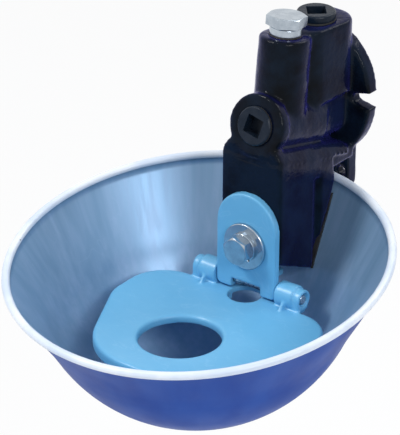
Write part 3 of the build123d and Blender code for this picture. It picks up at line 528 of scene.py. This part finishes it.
def bowl_tree(sizes, outer_count, bead_count):
    """Geometry nodes that turn the profile round the axis and tilt the dish under the rim."""
    tree = bpy.data.node_groups.new("Turned bowl", "GeometryNodeTree")
    tree.interface.new_socket("Geometry", in_out="INPUT", socket_type="NodeSocketGeometry")
    for title, kind, value in (
        ("Segments", "NodeSocketInt", 192),
        ("Crease Depth", "NodeSocketFloat", 0.0429),
        ("Crease Shift", "NodeSocketFloat", 0.0053),
        ("Crease Tilt", "NodeSocketFloat", 0.05),
        ("Rim Slope", "NodeSocketFloat", 0.16),
    ):
        tree.interface.new_socket(title, in_out="INPUT", socket_type=kind).default_value = value
    tree.interface.new_socket("Geometry", in_out="OUTPUT", socket_type="NodeSocketGeometry")
    given = tree.nodes.new("NodeGroupInput")
    result = tree.nodes.new("NodeGroupOutput")

    size = put(tree, "GeometryNodeAttributeDomainSize", {"Geometry": given.outputs["Geometry"]})
    stations = size.outputs["Point Count"]
    rings = sums(tree, "ADD", given.outputs["Segments"], 1.0)
    grid = put(tree, "GeometryNodeMeshGrid", {"Vertices X": rings, "Vertices Y": stations})
    index = put(tree, "GeometryNodeInputIndex").outputs[0]
    station = sums(tree, "FLOORED_MODULO", index, stations)
    ring = sums(tree, "FLOOR", sums(tree, "DIVIDE", sums(tree, "ADD", index, 0.5), stations))
    turn = sums(tree, "DIVIDE", sums(tree, "MULTIPLY", ring, 2 * math.pi), given.outputs["Segments"])
    point = put(tree, "GeometryNodeSampleIndex", {
        "Geometry": given.outputs["Geometry"],
        "Value": put(tree, "GeometryNodeInputPosition").outputs[0],
        "Index": station,
    }, data_type="FLOAT_VECTOR")
    parts = put(tree, "ShaderNodeSeparateXYZ", {0: point.outputs[0]})
    radius, height = parts.outputs["X"], parts.outputs["Z"]
    across = sums(tree, "MULTIPLY", radius, sums(tree, "SINE", turn))
    back = sums(tree, "MULTIPLY", radius, sums(tree, "COSINE", turn))

    depth = given.outputs["Crease Depth"]
    share = sums(tree, "DIVIDE", sums(tree, "MULTIPLY", height, -1.0), depth)
    share = sums(tree, "MINIMUM", sums(tree, "MAXIMUM", share, 0.0), 1.0)
    below = put(tree, "ShaderNodeCombineXYZ", {"X": across, "Y": back, "Z": sums(tree, "ADD", height, depth)})
    tilted = put(tree, "ShaderNodeVectorRotate", {
        "Vector": below.outputs[0], "Angle": sums(tree, "MULTIPLY", given.outputs["Crease Tilt"], -1.0),
    }, rotation_type="X_AXIS")
    shift = put(tree, "ShaderNodeCombineXYZ", {
        "Y": sums(tree, "MULTIPLY", given.outputs["Crease Shift"], -1.0),
        "Z": sums(tree, "MULTIPLY", depth, -1.0),
    })
    lower = put(tree, "ShaderNodeVectorMath", {0: tilted.outputs[0], 1: shift.outputs[0]}, operation="ADD")
    upper = put(tree, "ShaderNodeCombineXYZ", {"X": across, "Y": back, "Z": height})
    joined = put(tree, "ShaderNodeMix", data_type="VECTOR")
    tree.links.new(share, joined.inputs[0])
    tree.links.new(upper.outputs[0], joined.inputs[4])
    tree.links.new(lower.outputs[0], joined.inputs[5])
    sloped = put(tree, "ShaderNodeVectorRotate", {
        "Vector": joined.outputs[1], "Angle": given.outputs["Rim Slope"],
    }, rotation_type="X_AXIS")
    placed = put(tree, "ShaderNodeVectorMath", {0: sloped.outputs[0], 1: tuple(RIM_CENTRE)}, operation="ADD")

    marked = put(tree, "GeometryNodeStoreNamedAttribute", {
        "Geometry": grid.outputs["Mesh"], "Name": "station", "Value": station,
    }, data_type="FLOAT", domain="POINT")
    moved = put(tree, "GeometryNodeSetPosition", {
        "Geometry": marked.outputs[0], "Position": placed.outputs[0],
    })
    closed = put(tree, "GeometryNodeMergeByDistance", {"Geometry": moved.outputs[0], "Distance": SEAM_GAP})
    where = put(tree, "GeometryNodeInputNamedAttribute", {"Name": "station"}, data_type="FLOAT").outputs[0]
    outside = put(tree, "FunctionNodeCompare", {0: where, 1: outer_count - 0.5}, operation="LESS_THAN")
    inside = put(
        tree, "FunctionNodeCompare", {0: where, 1: outer_count + bead_count - 0.5}, operation="GREATER_THAN"
    )
    real = put(tree, "GeometryNodeRealizeInstances", {0: closed.outputs[0]})
    coat = put(tree, "GeometryNodeSetMaterial", {"Geometry": real.outputs[0], "Material": finish("rim")})
    coat = put(tree, "GeometryNodeSetMaterial", {
        "Geometry": coat.outputs[0], "Selection": outside.outputs[0], "Material": finish("outside"),
    })
    coat = put(tree, "GeometryNodeSetMaterial", {
        "Geometry": coat.outputs[0], "Selection": inside.outputs[0], "Material": finish("inside"),
    })
    tree.links.new(coat.outputs[0], result.inputs["Geometry"])
    return tree


def make_bowl(sizes):
    """Pressed bowl with its bead, in three finishes."""
    outer, bead, inner = bowl_profile(sizes)
    profile = outer + bead + inner
    mesh = bpy.data.meshes.new("bowl_shell")
    mesh.from_pydata(
        [(point.x, 0.0, point.y) for point in profile], [(i, i + 1) for i in range(len(profile) - 1)], []
    )
    piece = place_mesh("bowl_shell", mesh)
    turned = piece.modifiers.new("Turned bowl", "NODES")
    turned.node_group = bowl_tree(sizes, len(outer), len(bead))
    values = {
        "Segments": sizes.segments,
        "Crease Depth": sizes.crease_depth,
        "Crease Shift": sizes.crease_shift,
        "Crease Tilt": sizes.crease_tilt,
        "Rim Slope": RIM_SLOPE,
    }
    for item in turned.node_group.interface.items_tree:
        if item.in_out == "INPUT" and item.name in values:
            turned[item.identifier] = values[item.name]
    settled(piece)
    form = bmesh.new()
    form.from_mesh(piece.data)
    bmesh.ops.recalc_face_normals(form, faces=form.faces)
    form.to_mesh(piece.data)
    form.free()
    smooth(piece)
    stand_for("bowl", piece, "frame")


# ---------------------------------------------------------------- housing and paddle
def roughen(piece, scale, depth):
    """Shift the surface by a slow unevenness, as sand casting leaves it."""
    mesh = piece.data
    normals = [vertex.normal.copy() for vertex in mesh.vertices]
    for vertex, normal in zip(mesh.vertices, normals):
        vertex.co += normal * (noise.noise(vertex.co * scale) * depth)
    mesh.update()


def make_housing(sizes):
    """Enamelled casting with soft edges and a slightly uneven skin."""
    piece = moulded("valve_housing", "valve_housing_casting", sizes.voxel, sizes.soften, sizes.keep)
    roughen(piece, sizes.lump_scale, sizes.lump_depth)
    smooth(piece)
    piece.data.materials.append(finish("cast_enamel"))
    stand_for("valve_housing", piece, "frame")


def make_plastic(node, name, body, voxel, rounds, keep):
    """Moulded plastic piece with soft edges."""
    piece = moulded(node, name, voxel, rounds, keep)
    smooth(piece)
    piece.data.materials.append(finish("paddle_blue"))
    stand_for(node, piece, body)


# ---------------------------------------------------------------- settings
def length_setting(title, words, value):
    """Length property, in metres."""
    return FloatProperty(name=title, description=words, default=value, unit="LENGTH", precision=4)


def angle_setting(title, words, degrees):
    """Angle property, given in degrees."""
    return FloatProperty(name=title, description=words, default=math.radians(degrees), unit="ROTATION")


def share_setting(title, words, value):
    """Share between 0 and 1."""
    return FloatProperty(name=title, description=words, default=value, subtype="FACTOR", min=0.0, max=1.0)


def number_setting(title, words, value):
    """Plain number."""
    return FloatProperty(name=title, description=words, default=value)


def whole_setting(title, words, value):
    """Whole number."""
    return IntProperty(name=title, description=words, default=value, min=0)


class WatererBowl(bpy.types.PropertyGroup):
    """Sizes of the pressed bowl."""

    wall: length_setting("Wall", "Thickness of the bowl", 0.002)
    crease_radius: length_setting("Crease Radius", "Radius where the wall meets the dish", 0.1025)
    crease_depth: length_setting("Crease Depth", "Crease below the rim plane", 0.0429)
    crease_shift: length_setting("Crease Shift", "Crease centre towards the animal", 0.0053)
    crease_tilt: angle_setting("Crease Tilt", "Tilt of the dish under the rim", 3)
    crease_round: length_setting("Crease Rounding", "Length of the soft bend at the crease", 0.009)
    dish_height: length_setting("Dish Depth", "Dish below the crease", 0.067)
    segments: whole_setting("Segments", "Faces round the bowl", 192)
    wall_steps: whole_setting("Wall Steps", "Rings on the wall", 10)
    dish_steps: whole_setting("Dish Steps", "Rings on the dish", 24)
    bead_steps: whole_setting("Bead Steps", "Faces round the bead", 16)


class WatererCasting(bpy.types.PropertyGroup):
    """Skin of the cast housing."""

    voxel: length_setting("Voxel", "Grid that the skin is built on", 0.0012)
    soften: whole_setting("Soften", "Rounds of smoothing on the edges", 12)
    keep: share_setting("Keep", "Share of the faces kept", 0.6)
    lump_scale: number_setting("Lump Scale", "Lumps in one metre", 110.0)
    lump_depth: length_setting("Lump Depth", "Height of the lumps", 0.0003)


class WatererPlastic(bpy.types.PropertyGroup):
    """Skin of the moulded pieces."""

    voxel: length_setting("Voxel", "Grid that the skin is built on", 0.0008)
    soften: whole_setting("Soften", "Rounds of smoothing on the edges", 4)
    keep: share_setting("Keep", "Share of the faces kept", 0.6)


class WatererMetal(bpy.types.PropertyGroup):
    """Edges of the turned and pressed metal pieces."""

    bevel: length_setting("Edge", "Width of the broken edges", 0.0003)


def colour(title, words, value):
    """Colour property with a linear default."""
    return FloatVectorProperty(
        name=title, description=words, default=value, subtype="COLOR", size=3, min=0.0, max=1.0
    )


class WatererColours(bpy.types.PropertyGroup):
    """Colours of the finishes."""

    # The outside's blue is partly the bowl's own tint and partly a painted reflection of blue surroundings.
    outside: colour("Outside", "Blue of the bowl's outside, partly painted reflection", (0.022, 0.080, 0.36))
    outside_deep: colour("Outside Deep", "Darker runs on the outside", (0.015, 0.058, 0.30))
    inside: colour("Inside", "Enamel of the bowl's inside", (0.24, 0.39, 0.58))
    inside_pale: colour("Inside Pale", "Paler runs on the inside", (0.36, 0.50, 0.72))
    inside_deep: colour("Inside Deep", "Darker clouds on the inside", (0.13, 0.27, 0.43))
    # The rim's near-white is partly bare metal and partly a painted highlight of the light from above.
    rim: colour("Rim", "Worn bead metal, partly painted highlight", (0.80, 0.85, 0.92))
    chip: colour("Chip", "Small chips in the bead", (0.03, 0.045, 0.08))
    cast: colour("Casting", "Enamel of the housing", (0.005, 0.011, 0.022))
    cast_deep: colour("Casting Deep", "Darker clouds on the housing", (0.002, 0.003, 0.005))
    # The blue at the housing's edges is a painted reflection, put into the base colour.
    cast_painted_reflection: colour("Casting Painted Reflection", "Painted blue reflection at the housing's edges", (0.050, 0.045, 0.42))
    plug: colour("Plug", "Coating of the pipe plugs", (0.012, 0.018, 0.030))
    plastic: colour("Plastic", "Paddle and bracket", (0.14, 0.43, 0.69))
    plastic_deep: colour("Plastic Deep", "Deeper tone of the plastic", (0.12, 0.40, 0.66))
    plastic_worn: colour("Plastic Worn", "Scuffed plastic", (0.42, 0.66, 0.86))
    zinc: colour("Zinc", "Bright plating", (0.48, 0.54, 0.60))
    zinc_dull: colour("Zinc Dull", "Duller plating", (0.28, 0.33, 0.39))
    brass: colour("Brass", "Turned brass", (0.72, 0.50, 0.20))
    brass_dull: colour("Brass Dull", "Duller brass", (0.50, 0.33, 0.13))
    rubber: colour("Rubber", "Seals", (0.018, 0.018, 0.018))
    rubber_bloom: colour("Rubber Bloom", "Greyer rubber", (0.035, 0.035, 0.036))


class WatererStage(bpy.types.PropertyGroup):
    """Camera, floor and light."""

    azimuth: angle_setting("Azimuth", "Camera to the right of the front", 37.1)
    elevation: angle_setting("Elevation", "Camera above the level", 26.5)
    roll: angle_setting("Roll", "Turn of the camera", -0.3)
    distance: length_setting("Distance", "Camera from the rim's centre", 2.0831)
    aim_right: length_setting("Aim Right", "Shift to the right", 0.00097)
    aim_up: length_setting("Aim Up", "Shift upwards", 0.02753)
    lens: number_setting("Lens", "Focal length in millimetres", 263.2)
    floor_level: length_setting("Floor", "Height of the floor", -0.45)


# ---------------------------------------------------------------- stage
def camera_axes(stage):
    """Right, up and forward of the camera as unit vectors."""
    a, e = stage.azimuth, stage.elevation
    right = Vector((math.cos(a), math.sin(a), 0.0))
    up = Vector((-math.sin(a) * math.sin(e), math.cos(a) * math.sin(e), math.cos(e)))
    forward = Vector((-math.sin(a) * math.cos(e), math.cos(a) * math.cos(e), -math.sin(e)))
    rolled_right = right * math.cos(stage.roll) - up * math.sin(stage.roll)
    rolled_up = up * math.cos(stage.roll) + right * math.sin(stage.roll)
    return rolled_right, rolled_up, forward


def make_camera(stage):
    """Camera that looks at the bowl from its right front."""
    right, up, forward = camera_axes(stage)
    data = bpy.data.cameras.new("Camera")
    data.sensor_fit = "VERTICAL"
    data.sensor_height = 36.0
    data.lens = stage.lens
    camera = bpy.data.objects.new("Camera", data)
    place = RIM_CENTRE + right * stage.aim_right + up * stage.aim_up - forward * stage.distance
    turn = Matrix((right, up, -forward)).transposed().to_4x4()
    camera.matrix_world = Matrix.Translation(place) @ turn
    bpy.context.scene.collection.objects.link(camera)
    bpy.context.scene.camera = camera


def add_lamp(name, place, size, power):
    """Square area lamp that points at the rim's centre."""
    data = bpy.data.lights.new(name, "AREA")
    data.size = size
    data.energy = power
    lamp = bpy.data.objects.new(name, data)
    way = (RIM_CENTRE - Vector(place)).to_track_quat("-Z", "Y")
    lamp.matrix_world = Matrix.Translation(place) @ way.to_matrix().to_4x4()
    bpy.context.scene.collection.objects.link(lamp)


def seen_rays(tree):
    """1 for camera, glossy and transmission rays, 0 for the others."""
    path = put(tree, "ShaderNodeLightPath")
    seen = sums(tree, "MAXIMUM", path.outputs["Is Camera Ray"], path.outputs["Is Glossy Ray"])
    return sums(tree, "MAXIMUM", seen, path.outputs["Is Transmission Ray"])


def make_world():
    """Even light from all round, white behind the object."""
    world = bpy.data.worlds.new("Studio")
    world.use_nodes = True
    bpy.context.scene.world = world
    tree = world.node_tree
    seen = seen_rays(tree)
    level = put(tree, "ShaderNodeMapRange", {"Value": seen, "To Min": SKY_LIGHT, "To Max": 1.0})
    back = tree.nodes["Background"]
    tree.links.new(blend_colours(tree, seen, SKY_TINT, (1.0, 1.0, 1.0)), back.inputs["Color"])
    tree.links.new(level.outputs["Result"], back.inputs["Strength"])


def make_floor(stage):
    """Pale floor under the bowl, nearly white to the lens."""
    mesh = bpy.data.meshes.new("Floor")
    signs = ((-1, -1), (1, -1), (1, 1), (-1, 1))
    corners = [(x * FLOOR_REACH, y * FLOOR_REACH, stage.floor_level) for x, y in signs]
    mesh.from_pydata(corners, [], [(0, 1, 2, 3)])
    floor = place_mesh("floor", mesh)
    material = bpy.data.materials.new("Pale floor")
    material.use_nodes = True
    tree = material.node_tree
    shader = tree.nodes["Principled BSDF"]
    shader.inputs["Base Color"].default_value = (0.9, 0.9, 0.9, 1.0)
    shader.inputs["Roughness"].default_value = 0.8
    glow = put(tree, "ShaderNodeEmission", {"Color": (1.0, 1.0, 1.0, 1.0), "Strength": 1.0})
    seen = sums(tree, "MULTIPLY", seen_rays(tree), FLOOR_GLOW)
    mixed = put(tree, "ShaderNodeMixShader", {0: seen, 1: shader.outputs[0], 2: glow.outputs[0]})
    tree.links.new(mixed.outputs[0], tree.nodes["Material Output"].inputs["Surface"])
    mesh.materials.append(material)


# ---------------------------------------------------------------- operators
class WATERER_OT_bowl(bpy.types.Operator):
    """Make the pressed bowl."""

    bl_idname = "waterer.bowl"
    bl_label = "Bowl"

    def execute(self, context):
        make_bowl(context.scene.waterer_bowl)
        return {"FINISHED"}


class WATERER_OT_housing(bpy.types.Operator):
    """Make the cast valve housing."""

    bl_idname = "waterer.housing"
    bl_label = "Valve Housing"

    def execute(self, context):
        make_housing(context.scene.waterer_casting)
        return {"FINISHED"}


class WATERER_OT_plugs(bpy.types.Operator):
    """Make the two pipe plugs."""

    bl_idname = "waterer.plugs"
    bl_label = "Pipe Plugs"

    def execute(self, context):
        edge = context.scene.waterer_metal.bevel
        for node, name in (("front_plug", "front_plug_piece"), ("top_plug", "top_plug_piece")):
            dressed(node, name, "plug_black", "frame", 2 * edge)
        return {"FINISHED"}


class WATERER_OT_regulator(bpy.types.Operator):
    """Make the regulating screw and its gland."""

    bl_idname = "waterer.regulator"
    bl_label = "Flow Regulator"

    def execute(self, context):
        edge = context.scene.waterer_metal.bevel
        dressed("regulating_screw", "regulating_screw_piece", "zinc_steel", "regulating_screw", edge)
        dressed("regulator_gland", "regulator_gland_piece", "zinc_steel", "frame", edge)
        return {"FINISHED"}


class WATERER_OT_bracket(bpy.types.Operator):
    """Make the hinge bracket."""

    bl_idname = "waterer.bracket"
    bl_label = "Hinge Bracket"

    def execute(self, context):
        plastic = context.scene.waterer_plastic
        grid = plastic.voxel * BRACKET_GRID
        make_plastic("hinge_bracket", "hinge_bracket_piece", "frame", grid, plastic.soften, plastic.keep)
        return {"FINISHED"}


class WATERER_OT_fasteners(bpy.types.Operator):
    """Make the bolts and washers."""

    bl_idname = "waterer.fasteners"
    bl_label = "Bolts and Washers"

    def execute(self, context):
        edge = context.scene.waterer_metal.bevel
        for node, name in (
            ("bracket_bolt", "bracket_bolt_piece"),
            ("bracket_washer", "bracket_washer_piece"),
            ("bracket_spring_washer", "bracket_spring_washer_piece"),
            ("bowl_bolts", "bowl_bolts_piece"),
            ("bowl_bolt_washers", "bowl_bolt_washers_piece"),
        ):
            dressed(node, name, "zinc_steel", "frame", edge)
        return {"FINISHED"}


class WATERER_OT_paddle(bpy.types.Operator):
    """Make the paddle."""

    bl_idname = "waterer.paddle"
    bl_label = "Paddle"

    def execute(self, context):
        plastic = context.scene.waterer_plastic
        make_plastic("paddle", "paddle_piece", "paddle", plastic.voxel, plastic.soften, plastic.keep)
        return {"FINISHED"}


class WATERER_OT_pin(bpy.types.Operator):
    """Make the hinge pin."""

    bl_idname = "waterer.pin"
    bl_label = "Hinge Pin"

    def execute(self, context):
        edge = context.scene.waterer_metal.bevel
        dressed("hinge_pin", "hinge_pin_piece", "stainless", "frame", edge)
        return {"FINISHED"}


class WATERER_OT_spring(bpy.types.Operator):
    """Make the valve spring."""

    bl_idname = "waterer.spring"
    bl_label = "Valve Spring"

    def execute(self, context):
        make_spring()
        return {"FINISHED"}


class WATERER_OT_inner_parts(bpy.types.Operator):
    """Give the valve's inner parts and the seals their finishes."""

    bl_idname = "waterer.inner_parts"
    bl_label = "Inner Parts"

    def execute(self, context):
        slots = {part["node"]: part["material_slot"] for part in frame["record"]["subparts"]}
        for node in (
            "bowl_gasket", "front_plug_seal", "top_plug_seal", "gland_seal", "spindle_o_ring",
            "throttle_plunger", "inlet_strainer", "valve_insert", "valve_insert_seal", "valve_insert_cap",
            "valve_stem", "valve_seat_rubber",
        ):
            mesh = frame["nodes"][node].data
            mesh.materials.clear()
            mesh.materials.append(finish(slots[node]))
        return {"FINISHED"}


class WATERER_OT_stage(bpy.types.Operator):
    """Set up the floor, the light and the camera."""

    bl_idname = "waterer.stage"
    bl_label = "Stage"

    def execute(self, context):
        stage = context.scene.waterer_stage
        context.scene.view_settings.view_transform = "Standard"
        make_world()
        make_floor(stage)
        for name, place, size, power in LAMPS:
            add_lamp(name, place, size, power)
        make_camera(stage)
        return {"FINISHED"}


class WATERER_PT_panel(bpy.types.Panel):
    """Lists the pieces and their settings."""

    bl_label = "Drinking Bowl"
    bl_idname = "WATERER_PT_panel"
    bl_space_type = "VIEW_3D"
    bl_region_type = "UI"
    bl_category = "Drinking Bowl"

    def draw(self, context):
        for operator in OPERATORS:
            self.layout.operator(operator.bl_idname)
        for name, group in GROUPS.items():
            box = self.layout.box()
            box.label(text=group.__doc__)
            for title in group.__annotations__:
                box.prop(getattr(context.scene, name), title)


GROUPS = {
    "waterer_bowl": WatererBowl,
    "waterer_casting": WatererCasting,
    "waterer_plastic": WatererPlastic,
    "waterer_metal": WatererMetal,
    "waterer_colours": WatererColours,
    "waterer_stage": WatererStage,
}
OPERATORS = (
    WATERER_OT_bowl,
    WATERER_OT_housing,
    WATERER_OT_plugs,
    WATERER_OT_regulator,
    WATERER_OT_bracket,
    WATERER_OT_fasteners,
    WATERER_OT_paddle,
    WATERER_OT_pin,
    WATERER_OT_spring,
    WATERER_OT_inner_parts,
    WATERER_OT_stage,
)


def register():
    """Register the settings, the operators and the panel."""
    for name, group in GROUPS.items():
        bpy.utils.register_class(group)
        setattr(bpy.types.Scene, name, PointerProperty(type=group))
    for operator in OPERATORS:
        bpy.utils.register_class(operator)
    bpy.utils.register_class(WATERER_PT_panel)


def unregister():
    """Remove what register added."""
    bpy.utils.unregister_class(WATERER_PT_panel)
    for operator in reversed(OPERATORS):
        bpy.utils.unregister_class(operator)
    for name, group in reversed(list(GROUPS.items())):
        delattr(bpy.types.Scene, name)
        bpy.utils.unregister_class(group)


def main():
    """Make every piece."""
    register()
    for operator in OPERATORS:
        family, title = operator.bl_idname.split(".")
        getattr(getattr(bpy.ops, family), title)()


if __name__ == "__main__":
    main()
